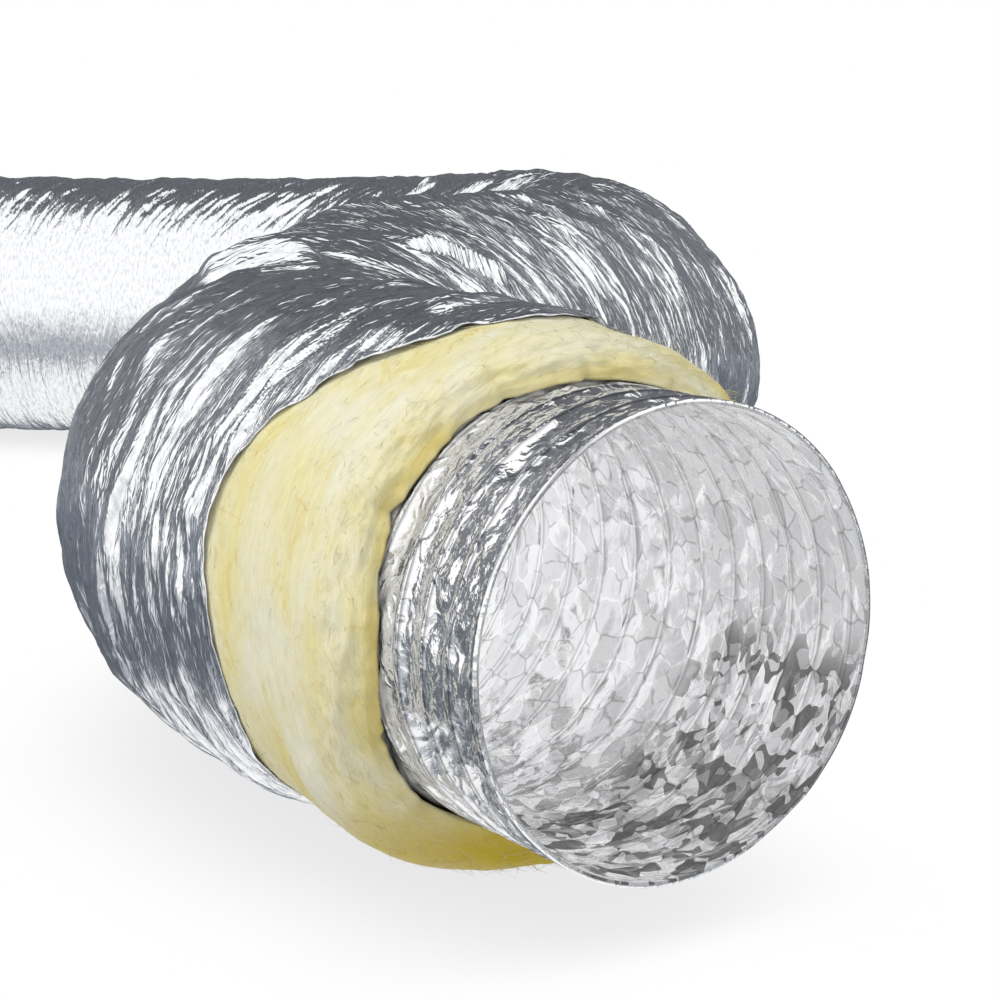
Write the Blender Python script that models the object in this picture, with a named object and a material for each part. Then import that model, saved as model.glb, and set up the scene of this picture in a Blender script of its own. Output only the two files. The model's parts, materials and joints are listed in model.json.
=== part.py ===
"""An insulated flexible air duct lying on the ground in a bend, its near end dressed back in steps.

From the inside out: an inner foil ply, a helix of spring wire, an outer foil ply, a glass-wool
blanket and a foil jacket. The hose bends, so each layer is divided along the hose into lengths.
Neighbouring lengths meet on a ball-shaped cut centred on the vertical axis they swing about, like
the links of a gooseneck.

Axes: the far straight run lies along X and ends towards -X, the open mouth faces -Y and +X,
+Z is up and the ground is at z = 0. The origin is the middle of the bounding box at the ground.
Metres. A "distance" is always measured along the centreline, back from the mouth.
"""

import math

import bpy
import numpy as np

# Shape of the hose, in units of DIAMETER.
DIAMETER = 0.270  # about the outside of the jacket, in metres
MOUTH_YAW = 42.7  # degrees, from -Y towards +X
TURNS = [  # (length of this stretch, yaw at its far end in degrees)
    (1.077, 42.7),
    (0.430, 4.3),
    (0.966, -5.9),
    (1.209, -11.0),
    (0.736, 1.6),
    (0.732, 35.4),
    (0.602, 90.0),
    (1.930, 90.0),
]
JACKET_RADII = [  # (distance, outside radius), starting at the cut edge of the jacket
    (0.731, 0.488),
    (2.473, 0.524),
    (5.150, 0.495),
    (5.952, 0.485),
]
MOUTH_HEIGHT = JACKET_RADII[0][1]  # of the centreline
SETTLE_START = 0.7 * TURNS[0][0]  # the centreline leaves the mouth height here,
SETTLE_END = JACKET_RADII[1][0]  # and from here on the jacket rests on the ground
SAMPLE_STEP = 0.01
YAW_SMOOTHING = 27  # samples averaged
RADIUS_SMOOTHING = 61

# Lengths of the hose, mouth end first. Each swings about the hinge at its far end.
SECTIONS = [  # (name, distance of its hinge in units of DIAMETER)
    ("end_run", 1.42),
    ("near_run_front", 2.05),
    ("near_run_middle", 3.10),
    ("near_run_rear", 4.45),
    ("elbow_front", 4.98),
    ("elbow_rear", 5.50),
    ("far_run", None),
]

# Fineness of the mesh.
SIDES = 18  # around the hose
WIRE_SIDES = 3
DEGREES_PER_STATION = 13.0
STATIONS_PER_SAMPLE = 0.012  # added everywhere, so that straight runs have stations too
STATION_CLEARANCE = 0.0015  # least distance from a station to a cut

# Layers, from the bore outwards.
PLY = 0.0007
SLIT = 0.0007  # clearance between neighbouring layers
WIRE_RADIUS = 0.0011
JACKET = 0.0012
CUFF = 0.0016
BORE_RADIUS = 0.1012
HELIX_RADIUS = BORE_RADIUS + PLY + SLIT + WIRE_RADIUS
OUTER_PLY_INSIDE = HELIX_RADIUS + WIRE_RADIUS + SLIT
INNER_PLY_RADII = (BORE_RADIUS, BORE_RADIUS + PLY)
OUTER_PLY_RADII = (OUTER_PLY_INSIDE, OUTER_PLY_INSIDE + PLY)
WOOL_INSIDE = OUTER_PLY_RADII[1] + SLIT
END_RING_RADIUS = 0.126  # outside of the bare wool

# Distances of the cuts that dress back the near end.
CUFF_NEAR = JACKET_RADII[0][0] * DIAMETER
CUFF_FAR = CUFF_NEAR + 0.026
JACKET_NEAR = CUFF_NEAR + 0.012
WOOL_NEAR = CUFF_NEAR + 0.006
END_RING_NEAR = 0.272 * DIAMETER
END_RING_FAR = CUFF_NEAR + 0.005
CORE_NEAR = CUFF_NEAR - 0.040
MOUTH_CORE_FAR = CUFF_NEAR - 0.0415
MOUTH_WIRE_NEAR = -0.003
FAR_TRIM = 0.02 * DIAMETER  # cut off the far end of the centreline

# Ball cuts: the length behind ends just inside the ball, the one in front just outside it.
BALL_OVERSIZE = 1.035  # ball radius over jacket radius
BALL_LOOK_AHEAD = 0.3 * DIAMETER  # the jacket is also measured this far towards the mouth
BALL_GAP = -0.0002
SOCKET_GAP = 0.0038
MARCH_STEP = 0.004
BISECTIONS = 30

# Wire helix.
END_PITCH = 0.1 * DIAMETER
PITCH = 0.17 * DIAMETER
WIRE_INSET = 0.0045  # from the cuts
LONG_RUN_PITCHES = 4.8
PROBE = 0.001  # offset for finding directions on the tube

for old in list(bpy.data.objects):
    bpy.data.objects.remove(old)


# Materials


def material(name, colour, roughness, metallic):
    made = bpy.data.materials.new(name)
    made.use_nodes = True
    shader = made.node_tree.nodes["Principled BSDF"]
    shader.inputs["Base Color"].default_value = (*colour, 1)
    shader.inputs["Roughness"].default_value = roughness
    shader.inputs["Metallic"].default_value = metallic
    return made


JACKET_FOIL = material("jacket_foil", colour=(0.62, 0.64, 0.67), roughness=0.28, metallic=1.0)
GLASS_WOOL = material("glass_wool", colour=(0.85, 0.76, 0.42), roughness=0.95, metallic=0.0)
OUTER_FOIL = material("core_outer_foil", colour=(0.80, 0.81, 0.82), roughness=0.16, metallic=1.0)
INNER_FOIL = material("core_inner_foil", colour=(0.78, 0.79, 0.80), roughness=0.2, metallic=1.0)
SPRING_STEEL = material("spring_steel", colour=(0.42, 0.42, 0.43), roughness=0.35, metallic=1.0)


# Centreline and cross-sections


def smoothed(values, width):
    """Running mean over an odd number of samples."""
    padded = np.pad(values, (width // 2, width // 2), mode="edge")
    return np.convolve(padded, np.ones(width) / width, "valid")


def centreline():
    """Fine samples, in metres: distance, point, unit side vector, jacket radius."""
    ends = np.cumsum([0.0] + [length for length, _ in TURNS])
    distance = np.arange(0, ends[-1] + 1e-9, SAMPLE_STEP)

    yaw = np.interp(distance, ends, [MOUTH_YAW] + [turn_yaw for _, turn_yaw in TURNS])
    yaw = np.radians(smoothed(yaw, YAW_SMOOTHING))
    heading = np.stack([np.sin(yaw), -np.cos(yaw)], 1)  # towards the mouth
    steps = (heading[1:] + heading[:-1]) / 2 * SAMPLE_STEP
    xy = -np.vstack([[0, 0], np.cumsum(steps, axis=0)])

    radius = np.interp(distance, *zip(*JACKET_RADII))
    radius = smoothed(radius, RADIUS_SMOOTHING)
    settle = np.clip((distance - SETTLE_START) / (SETTLE_END - SETTLE_START), 0, 1)
    settle = settle * settle * (3 - 2 * settle)
    z = MOUTH_HEIGHT * (1 - settle) + radius * settle

    side = np.stack([-heading[:, 1], heading[:, 0], 0 * distance], 1)
    point = np.column_stack([xy, z])
    return distance * DIAMETER, point * DIAMETER, side, radius * DIAMETER


SAMPLE_DISTANCE, SAMPLE_POINT, SAMPLE_SIDE, SAMPLE_RADIUS = centreline()


def cross_section(distance):
    """Centre, unit side vector and jacket radius, straight from the fine samples."""
    centre = np.array([np.interp(distance, SAMPLE_DISTANCE, axis) for axis in SAMPLE_POINT.T])
    side = np.array([np.interp(distance, SAMPLE_DISTANCE, axis) for axis in SAMPLE_SIDE.T])
    radius = float(np.interp(distance, SAMPLE_DISTANCE, SAMPLE_RADIUS))
    return centre, side / np.linalg.norm(side), radius


def station_distances():
    """Close together where the hose bends, far apart where it is straight."""
    yaw = np.unwrap(np.arctan2(SAMPLE_SIDE[:, 1], SAMPLE_SIDE[:, 0]))
    turned = np.abs(np.diff(np.degrees(yaw)))
    density = turned / DEGREES_PER_STATION + STATIONS_PER_SAMPLE
    wanted = np.concatenate([[0], np.cumsum(density)])
    count = int(math.ceil(wanted[-1]))
    return np.interp(np.linspace(0, wanted[-1], count + 1), wanted, SAMPLE_DISTANCE)


STATIONS = station_distances()
STATION_SECTIONS = [cross_section(distance) for distance in STATIONS]
ANGLES = [2 * math.pi * i / SIDES for i in range(SIDES)]  # from the side vector towards +Z
UP = np.array([0, 0, 1.0])


def on_tube(distance, angle, radius):
    """The point on a tube that runs straight from station to station.

    radius is a length, or a function of the jacket radius.
    """
    i = int(np.clip(np.searchsorted(STATIONS, distance) - 1, 0, len(STATIONS) - 2))
    blend = (distance - STATIONS[i]) / (STATIONS[i + 1] - STATIONS[i])
    ends = []
    for centre, side, jacket in STATION_SECTIONS[i : i + 2]:
        length = radius(jacket) if callable(radius) else radius
        ends.append(centre + length * (math.cos(angle) * side + math.sin(angle) * UP))
    return ends[0] * (1 - blend) + ends[1] * blend


# Cuts


class BallCut:
    """A ball-shaped cut centred on a swing axis, bulging towards the mouth."""

    def __init__(self, distance):
        self.distance = distance
        self.centre, _, jacket = cross_section(distance)
        jacket_ahead = cross_section(distance - BALL_LOOK_AHEAD)[2]
        self.ball_radius = BALL_OVERSIZE * max(jacket, jacket_ahead)

    def crossing(self, angle, radius, gap):
        """Distance at which this line of the tube leaves the ball, going towards the mouth."""

        def is_outside(distance):
            offset = on_tube(distance, angle, radius) - self.centre
            return np.linalg.norm(offset) > self.ball_radius + gap

        inside, outside = self.distance, self.distance - MARCH_STEP
        while not is_outside(outside):
            inside, outside = outside, outside - MARCH_STEP
        for _ in range(BISECTIONS):
            middle = (inside + outside) / 2
            if is_outside(middle):
                outside = middle
            else:
                inside = middle
        return (inside + outside) / 2


class FlatCut:
    """A plain cut across the hose."""

    def __init__(self, distance):
        self.distance = distance

    def crossing(self, angle, radius, gap):
        return self.distance


def cut_bounds(near, far, angle, radius):
    """Distances of both ends of one line of a piece, mouth end first."""
    return near.crossing(angle, radius, BALL_GAP), far.crossing(angle, radius, SOCKET_GAP)


# Solids


def new_object(name, verts, side_faces, end_faces, surface, origin):
    """A closed shell facing outwards: the sides are shaded smooth, the cut ends stay crisp."""
    mesh = bpy.data.meshes.new(name)
    mesh.from_pydata([tuple(vert - origin) for vert in verts], [], side_faces + end_faces)
    mesh.update()
    for polygon in mesh.polygons:
        polygon.use_smooth = polygon.index < len(side_faces)
    if signed_volume(mesh) < 0:
        mesh.flip_normals()
    mesh.materials.append(surface)
    obj = bpy.data.objects.new(name, mesh)
    obj.location = origin
    bpy.context.scene.collection.objects.link(obj)


def signed_volume(mesh):
    """Six times the enclosed volume, negative when the faces point inwards."""
    total = 0.0
    for polygon in mesh.polygons:
        first, *rest = [np.array(mesh.vertices[i].co) for i in polygon.vertices]
        for second, third in zip(rest, rest[1:]):
            total += float(np.dot(first, np.cross(second, third)))
    return total


def strip(line, neighbour):
    """Triangles between two lines of (vertex index, distance), stepping along the lagging one."""
    faces = []
    i = j = 0
    while i < len(line) - 1 or j < len(neighbour) - 1:
        neighbour_done = j == len(neighbour) - 1
        if neighbour_done or (
            i < len(line) - 1 and line[i + 1][1] <= neighbour[j + 1][1] + 1e-9
        ):
            faces.append((line[i][0], line[i + 1][0], neighbour[j][0]))
            i += 1
        else:
            faces.append((line[i][0], neighbour[j + 1][0], neighbour[j][0]))
            j += 1
    return faces


def sleeve(name, near, far, radii, surface, origin):
    """One closed tube wall between its (inside, outside) radii and its two cuts."""
    verts = []
    walls = []  # the inside wall, then the outside wall, as lists of lines along the hose
    for radius in radii:
        lines = []
        for angle in ANGLES:
            start, end = cut_bounds(near, far, angle, radius)
            low, high = start + STATION_CLEARANCE, end - STATION_CLEARANCE
            distances = [start] + [station for station in STATIONS if low < station < high] + [end]
            lines.append([(len(verts) + k, distance) for k, distance in enumerate(distances)])
            verts += [on_tube(distance, angle, radius) for distance in distances]
        walls.append(lines)

    inside, outside = walls
    side_faces, end_faces = [], []
    for i in range(SIDES):
        j = (i + 1) % SIDES
        side_faces += [face[::-1] for face in strip(inside[i], inside[j])]
        side_faces += strip(outside[i], outside[j])
        for end in (0, -1):
            quad = tuple(line[end][0] for line in (outside[i], outside[j], inside[j], inside[i]))
            end_faces.append(quad if end == 0 else quad[::-1])
    new_object(name, verts, side_faces, end_faces, surface, origin)


def unit(vector):
    return vector / np.linalg.norm(vector)


def wire(name, near, far, pitch, origin):
    """A helix of wire in the gap between the plies, spread evenly between the two cuts."""
    bounds = []
    for angle in ANGLES:
        start, end = cut_bounds(near, far, angle, HELIX_RADIUS)
        bounds.append((start + WIRE_INSET, end - WIRE_INSET))
    length = float(np.mean([end - start for start, end in bounds]))
    if length > LONG_RUN_PITCHES * pitch:
        # A long run starts square to the hose, clear of the slanted cut.
        square_start = max(start for start, _ in bounds)
        bounds = [(square_start, end) for _, end in bounds]

    steps = max(2, int(round(length / pitch))) * SIDES
    verts = []
    for step in range(steps + 1):
        start, end = bounds[step % SIDES]
        angle = ANGLES[step % SIDES]
        distance = start + (end - start) * step / steps
        middle = on_tube(distance, angle, HELIX_RADIUS)
        outward = unit(on_tube(distance, angle, HELIX_RADIUS + PROBE) - middle)
        ahead = on_tube(distance + PROBE, angle, HELIX_RADIUS)
        along = unit(ahead - on_tube(distance - PROBE, angle, HELIX_RADIUS))
        for k in range(WIRE_SIDES):
            turn = 2 * math.pi * k / WIRE_SIDES
            offset = math.cos(turn) * outward + math.sin(turn) * along
            verts.append(middle + WIRE_RADIUS * offset)

    side_faces = []
    for ring in range(0, steps * WIRE_SIDES, WIRE_SIDES):
        for k in range(WIRE_SIDES):
            i, j = ring + k, ring + (k + 1) % WIRE_SIDES
            side_faces.append((i, j, j + WIRE_SIDES, i + WIRE_SIDES))
    first_end = tuple(reversed(range(WIRE_SIDES)))
    last_end = tuple(steps * WIRE_SIDES + k for k in range(WIRE_SIDES))
    new_object(name, verts, side_faces, [first_end, last_end], SPRING_STEEL, origin)


# Pieces


def jacket_outside(jacket):
    return jacket


def jacket_inside(jacket):
    return jacket - JACKET


def wool_outside(jacket):
    return jacket - JACKET - SLIT


def cuff_inside(jacket):
    return jacket + SLIT


def cuff_outside(jacket):
    return jacket + SLIT + CUFF


def core(name, near, far, wire_near, pitch, origin):
    """Both plies and the wire between them."""
    sleeve("core_outer_ply_" + name, near, far, OUTER_PLY_RADII, OUTER_FOIL, origin)
    wire("wire_coil_" + name, wire_near, far, pitch, origin)
    sleeve("core_inner_ply_" + name, near, far, INNER_PLY_RADII, INNER_FOIL, origin)


def section(name, jacket_near, wool_near, core_near, far, pitch, origin):
    """All the layers of one length of the hose."""
    jacket_radii = (jacket_inside, jacket_outside)
    sleeve("jacket_" + name, jacket_near, far, jacket_radii, JACKET_FOIL, origin)
    wool_radii = (WOOL_INSIDE, wool_outside)
    sleeve("insulation_" + name, wool_near, far, wool_radii, GLASS_WOOL, origin)
    core(name, core_near, far, core_near, pitch, origin)


def dressed_end(origin):
    """A gathered cuff of jacket, a ring of bare wool and bare turns of core."""
    cuff_radii = (cuff_inside, cuff_outside)
    sleeve("jacket_cuff", FlatCut(CUFF_NEAR), FlatCut(CUFF_FAR), cuff_radii, JACKET_FOIL, origin)
    ring_near, ring_far = FlatCut(END_RING_NEAR), FlatCut(END_RING_FAR)
    ring_radii = (WOOL_INSIDE, END_RING_RADIUS)
    sleeve("insulation_end_ring", ring_near, ring_far, ring_radii, GLASS_WOOL, origin)
    mouth, core_far = FlatCut(0.0), FlatCut(MOUTH_CORE_FAR)
    core("mouth", mouth, core_far, FlatCut(MOUTH_WIRE_NEAR), END_PITCH, origin)


def centre_on_ground():
    """Puts the origin in the middle of the bounding box, at the ground."""
    points = np.array([
        np.array(vert.co) + np.array(obj.location)
        for obj in bpy.data.objects
        for vert in obj.data.vertices
    ])
    low, high = points.min(axis=0), points.max(axis=0)
    shift = np.array([-(low[0] + high[0]) / 2, -(low[1] + high[1]) / 2, -low[2]])
    for obj in bpy.data.objects:
        obj.location = np.array(obj.location) + shift
    bpy.context.view_layer.update()


def build():
    names = [name for name, _ in SECTIONS]
    hinges = [BallCut(hinge * DIAMETER) for _, hinge in SECTIONS[:-1]]
    far_end = FlatCut(SAMPLE_DISTANCE[-1] - FAR_TRIM)
    origins = [hinge.centre for hinge in hinges] + [np.zeros(3)]

    near_cuts = [(FlatCut(JACKET_NEAR), FlatCut(WOOL_NEAR), FlatCut(CORE_NEAR))]
    near_cuts += [(hinge, hinge, hinge) for hinge in hinges]
    pitches = [END_PITCH] + [PITCH] * len(hinges)
    for name, near, far, pitch, origin in zip(
        names, near_cuts, hinges + [far_end], pitches, origins
    ):
        section(name, *near, far, pitch, origin)
    dressed_end(origins[0])
    centre_on_ground()


build()
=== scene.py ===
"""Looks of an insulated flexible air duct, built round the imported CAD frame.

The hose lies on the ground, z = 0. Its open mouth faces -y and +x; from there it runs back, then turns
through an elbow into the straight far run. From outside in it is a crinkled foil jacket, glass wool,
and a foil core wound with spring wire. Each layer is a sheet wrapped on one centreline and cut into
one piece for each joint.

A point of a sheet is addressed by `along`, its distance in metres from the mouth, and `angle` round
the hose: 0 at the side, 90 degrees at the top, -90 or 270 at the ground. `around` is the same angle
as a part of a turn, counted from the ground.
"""

import json
import math

import bpy
import numpy as np
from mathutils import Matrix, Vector


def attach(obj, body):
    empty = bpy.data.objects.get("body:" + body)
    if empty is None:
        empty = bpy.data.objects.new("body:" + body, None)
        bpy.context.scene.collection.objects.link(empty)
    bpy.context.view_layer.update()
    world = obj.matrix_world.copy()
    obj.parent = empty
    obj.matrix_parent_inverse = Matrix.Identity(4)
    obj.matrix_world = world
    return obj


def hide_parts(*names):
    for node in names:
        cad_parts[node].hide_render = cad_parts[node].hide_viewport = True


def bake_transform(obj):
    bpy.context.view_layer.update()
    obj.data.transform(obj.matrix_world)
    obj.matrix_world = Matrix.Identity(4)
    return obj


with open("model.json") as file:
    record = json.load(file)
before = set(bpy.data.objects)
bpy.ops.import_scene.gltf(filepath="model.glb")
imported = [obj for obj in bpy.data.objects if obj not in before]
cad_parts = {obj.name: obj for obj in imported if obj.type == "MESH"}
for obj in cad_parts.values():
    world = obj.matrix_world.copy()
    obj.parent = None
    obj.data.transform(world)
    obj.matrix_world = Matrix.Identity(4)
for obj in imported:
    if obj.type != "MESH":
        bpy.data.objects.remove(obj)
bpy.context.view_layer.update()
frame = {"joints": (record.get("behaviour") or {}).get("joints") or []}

# ---------------------------------------------------------------- dimensions
DIAMETER = 0.270  # of the hose; lengths said to be in diameters are multiples of it
UP = np.array([0.0, 0.0, 1.0])

# The centreline: (length in diameters, yaw in degrees at its end) for each stretch from the mouth.
MOUTH_YAW = 42.7
TURNS = [
    (1.077, 42.7), (0.430, 4.3), (0.966, -5.9), (1.209, -11.0),
    (0.736, 1.6), (0.732, 35.4), (0.602, 90.0), (1.930, 90.0),
]
# Jacket radius: (distance from the mouth, radius), both in diameters.
RADII = [(0.731, 0.488), (2.473, 0.524), (5.150, 0.495), (5.952, 0.485)]
AXIS_HEIGHT = 0.488  # at the mouth, in diameters

# Joints, and where one piece of a sheet ends and the next starts, in diameters from the mouth.
HINGES = [1.42, 2.05, 3.10, 4.45, 4.98, 5.50]
SEAMS = [1.10, 1.735, 2.575, 3.775, 4.715, 5.24, 5.82]
CORE_SEAM = 0.66  # takes the place of the first seam on the core
SEAM_AT = [seam * DIAMETER for seam in SEAMS]
CORE_BOUNDS = [CORE_SEAM * DIAMETER] + SEAM_AT[1:]
BODIES = [
    "end_run", "near_run_front", "near_run_middle", "near_run_rear",
    "elbow_front", "elbow_rear", "far_run",
]

JACKET_UV_RADIUS = 0.131
WOOL_UV_RADIUS = 0.128
WOOL_UV_ROUND = 0.8  # texture width once round a wool sheet that has a cut face
WOOL_IN = 0.1066  # inside radius of the wool
SHOULDER = 0.027  # length of the rounded end of the bare wool
WIRE_COIL_RADIUS = 0.1037  # of the wire's own centre line
WIRE_RADIUS = 0.0006
MOUTH_PITCH, PITCH_GAIN = 0.0200, 0.0081  # pitch of the wire at the mouth, and how much it widens
WIRE_START = 0.30  # part of a turn
BORE_U = 3.0  # keeps the texture inside the core apart from the one outside


# ---------------------------------------------------------------- the centreline
def smoothstep(part):
    return part * part * (3 - 2 * part)


def ease(value, start, end):
    """0 before start, 1 after end, smooth between."""
    return smoothstep(np.clip((value - start) / (end - start), 0, 1))


def smoothed(values, width):
    padded = np.pad(values, (width // 2, width // 2), mode="edge")
    return np.convolve(padded, np.ones(width) / width, "valid")


def centreline():
    """Distance from the mouth, axis point, sideways direction and jacket radius at close steps."""
    step = 0.0025
    ends = np.cumsum([0.0] + [length for length, _ in TURNS])
    along = np.arange(0, ends[-1] + 1e-9, step)
    yaws = np.interp(along, ends, [MOUTH_YAW] + [yaw for _, yaw in TURNS])
    yaw = np.radians(smoothed(yaws, 107))
    heading = np.stack([np.sin(yaw), -np.cos(yaw)], 1)
    moves = (heading[1:] + heading[:-1]) / 2 * step
    flat = -np.vstack([[0, 0], np.cumsum(moves, axis=0)])
    radius = smoothed(np.interp(along, [at for at, _ in RADII], [size for _, size in RADII]), 243)
    settle = ease(along, 0.7 * TURNS[0][0], RADII[1][0])
    z = AXIS_HEIGHT * (1 - settle) + radius * settle
    side = np.stack([-heading[:, 1], heading[:, 0], 0 * along], 1)
    return along * DIAMETER, np.column_stack([flat, z]) * DIAMETER, side, radius * DIAMETER


LINE_AT, LINE_POINT, LINE_SIDE, LINE_RADIUS = centreline()


def on_line(along, table):
    return np.stack([np.interp(along, LINE_AT, table[:, i]) for i in range(3)], -1)


# The line is moved so that its first joint falls on the frame's.
first_hinge = next(joint for joint in frame["joints"] if joint["child"] == "end_run")
LINE_POINT = LINE_POINT + (
    np.array(first_hinge["pos_m"]) - on_line(HINGES[0] * DIAMETER, LINE_POINT)
)
END = LINE_AT[-1] - 0.02 * DIAMETER
MOUTH_HEADING = np.cross(LINE_SIDE[0], UP)


def centre(along):
    """Point on the axis. Beyond the mouth the line runs straight on."""
    along = np.asarray(along, float)
    points = on_line(np.clip(along, 0, LINE_AT[-1]), LINE_POINT)
    return points + np.maximum(0, -along)[..., None] * MOUTH_HEADING


def side_of(along):
    side = on_line(along, LINE_SIDE)
    return side / np.linalg.norm(side, axis=-1, keepdims=True)


def jacket_radius(along):
    return np.interp(along, LINE_AT, LINE_RADIUS)


def heading_of(along):
    """Level direction towards the mouth."""
    side = side_of(along)
    return np.stack([side[..., 1], -side[..., 0], 0 * side[..., 0]], -1)


def wrap(along, angle, radius):
    """Points of a sheet. The three arrays have one shape."""
    spoke = np.cos(angle)[..., None] * side_of(along) + np.sin(angle)[..., None] * UP
    return centre(along) + radius[..., None] * spoke


def turn(angle):
    return (angle + math.pi / 2) / (2 * math.pi)


def arc(angle, radius):
    """Length round the hose from the ground."""
    return turn(angle) * 2 * math.pi * radius


# ---------------------------------------------------------------- noise that wraps round the hose
LATTICE_ROWS = 1024
HELIX_CELLS = 4096


def lattice(along, around, length, count, seed, start=0.0, sway=0.0):
    """Random heights on cells of this length, count of them round the hose. start and sway shift
    the cells along and round it. Gives the place in the cell, its four corners and a chequer."""
    grid = np.random.default_rng(seed).random((LATTICE_ROWS, count)) * 2 - 1
    x, y = along / length + start, around * count + sway
    row, column = np.floor(x).astype(np.int64), np.floor(y).astype(np.int64)
    corners = [grid[(row + i) % LATTICE_ROWS, (column + j) % count] for j in (0, 1) for i in (0, 1)]
    return x - row, y - column, corners, (row + column % count) % 2 == 0


def triangles(x, y, corners, flip):
    """Splits a cell into two flat triangles, along the other diagonal where flip is set."""
    h00, h10, h01, h11 = corners
    y = np.where(flip, 1 - y, y)
    h00, h01 = np.where(flip, h01, h00), np.where(flip, h00, h01)
    h10, h11 = np.where(flip, h11, h10), np.where(flip, h10, h11)
    low = h00 + (h10 - h00) * x + (h01 - h00) * y
    high = h11 + (h01 - h11) * (1 - x) + (h10 - h11) * (1 - y)
    return np.where(x + y < 1, low, high)


def soft(along, around, **cells):
    """Smooth noise, -1 to 1."""
    x, y, (h00, h10, h01, h11), _ = lattice(along, around, **cells)
    x, y = smoothstep(x), smoothstep(y)
    return (h00 * (1 - x) + h10 * x) * (1 - y) + (h01 * (1 - x) + h11 * x) * y


def facets(along, around, **cells):
    """Noise made of flat triangles that meet in sharp creases, as in crumpled foil."""
    return triangles(*lattice(along, around, **cells))


def ring_noise(around, row, count, seed):
    """Smooth noise that varies round the hose only, taken from one row of the lattice."""
    return soft(around * 0, around, length=1, count=count, seed=seed, start=row)


def helical_facets(turn_no, around, rows, count, seed, calm=False):
    """Flat triangles laid out along the wire: rows of them to each turn, count round the hose.
    calm keeps them level where they meet the wire."""
    table = np.random.default_rng(seed).random((rows, HELIX_CELLS)) * 2 - 1
    if calm:
        table[0] = 0
    x, y = turn_no * rows, around * count
    row, column = np.floor(x).astype(np.int64), np.floor(y).astype(np.int64)

    def height(i, j):
        return table[i % rows, ((i // rows) * count + j) % HELIX_CELLS]

    corners = [height(row + i, column + j) for j in (0, 1) for i in (0, 1)]
    return triangles(x - row, y - column, corners, (row + column) % 2 == 0)


def rounded_table(table, degrees, offsets):
    """A table of (degrees, value) read with its corners rounded off."""
    keys, values = np.array(table).T
    return sum(np.interp(degrees + offset, keys, values) for offset in offsets) / len(offsets)


# ---------------------------------------------------------------- meshes
def grid_quads(rows, cols):
    """Faces of a grid whose last column joins its first."""
    index = np.arange(rows * cols).reshape(rows, cols)
    right = np.roll(index, -1, 1)
    return np.stack([index[:-1], right[:-1], right[1:], index[1:]], -1).reshape(-1, 4)


def build_mesh(name, verts, quads, materials, loop_uv=None, normals=None):
    mesh = bpy.data.meshes.new(name)
    mesh.vertices.add(len(verts))
    mesh.vertices.foreach_set("co", np.asarray(verts, np.float32).ravel())
    mesh.loops.add(quads.size)
    mesh.loops.foreach_set("vertex_index", quads.astype(np.int32).ravel())
    mesh.polygons.add(len(quads))
    mesh.polygons.foreach_set("loop_start", np.arange(0, quads.size, 4, dtype=np.int32))
    mesh.polygons.foreach_set("use_smooth", np.ones(len(quads), bool))
    mesh.update(calc_edges=True)
    if loop_uv is not None:
        layer = mesh.uv_layers.new(name="sheet")
        layer.data.foreach_set("uv", loop_uv.astype(np.float32).ravel())
    if normals is not None:
        mesh.normals_split_custom_set_from_vertices([tuple(normal) for normal in normals])
    for material in materials:
        mesh.materials.append(material)
    obj = bpy.data.objects.new(name, mesh)
    bpy.context.scene.collection.objects.link(obj)
    return obj


def sheet(name, points, uvs, materials, inward=False):
    """A grid of points, rows along the hose and columns round it, as one smooth mesh. The first
    and last rows are a halo: they shape the normals at the seams and are then dropped."""
    lengthwise = points[2:] - points[:-2]
    crosswise = np.roll(points, -1, 1) - np.roll(points, 1, 1)
    normals = np.cross(crosswise[1:-1], lengthwise)
    if inward:
        normals = -normals
    normals /= np.linalg.norm(normals, axis=-1, keepdims=True) + 1e-12
    grid = points[1:-1]
    quads = grid_quads(*grid.shape[:2])
    u, v = uvs[0][1:-1], uvs[1][1:-1]
    left = np.stack([u, v], -1)
    right = np.stack([np.roll(u, -1, 1), v + (v[:, 1:2] - v[:, 0:1])], -1)
    loop_uv = np.stack([left[:-1], right[:-1], right[1:], left[1:]], 2).reshape(-1, 4, 2)
    if inward:
        quads, loop_uv = quads[:, ::-1], loop_uv[:, ::-1]
    return build_mesh(
        name, grid.reshape(-1, 3), quads, materials, loop_uv.reshape(-1, 2), normals.reshape(-1, 3)
    )


def tube_wall(name, out, inner, along, angle, material):
    """Outer and inner sheet of one length, closed at both ends into one solid."""
    rows, cols = out.shape[:2]
    size = rows * cols
    quads = grid_quads(rows, cols)
    first = np.arange(cols)
    first_next = np.roll(first, -1)
    last, last_next = first + size - cols, first_next + size - cols
    start_ring = np.stack([first, first + size, first_next + size, first_next], -1)
    end_ring = np.stack([last, last_next, last_next + size, last + size], -1)
    faces = np.concatenate([quads, quads[:, ::-1] + size, start_ring, end_ring])
    uv = np.stack([along, arc(angle, WOOL_UV_RADIUS)], -1).reshape(-1, 2)
    uv = np.concatenate([uv, uv])
    verts = np.concatenate([out.reshape(-1, 3), inner.reshape(-1, 3)])
    return build_mesh(name, verts, faces, [material], uv[faces.ravel()])


def second_material_from(obj, first_face):
    index = np.zeros(len(obj.data.polygons), np.int32)
    index[first_face:] = 1
    obj.data.polygons.foreach_set("material_index", index)


def grid_of(rows, cols):
    """Distance and angle arrays for these rows. The seam of the texture is at the ground."""
    angle = -math.pi / 2 + np.arange(cols) / cols * 2 * math.pi
    along = np.repeat(np.asarray(rows, float)[:, None], cols, 1)
    return along, np.repeat(angle[None, :], len(rows), 0)


def rows_between(start, end, step):
    """Row positions from start to end with one halo row beyond each."""
    count = max(2, int(round(abs(end - start) / step)))
    return start + (end - start) / count * np.arange(-1, count + 2)


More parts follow.
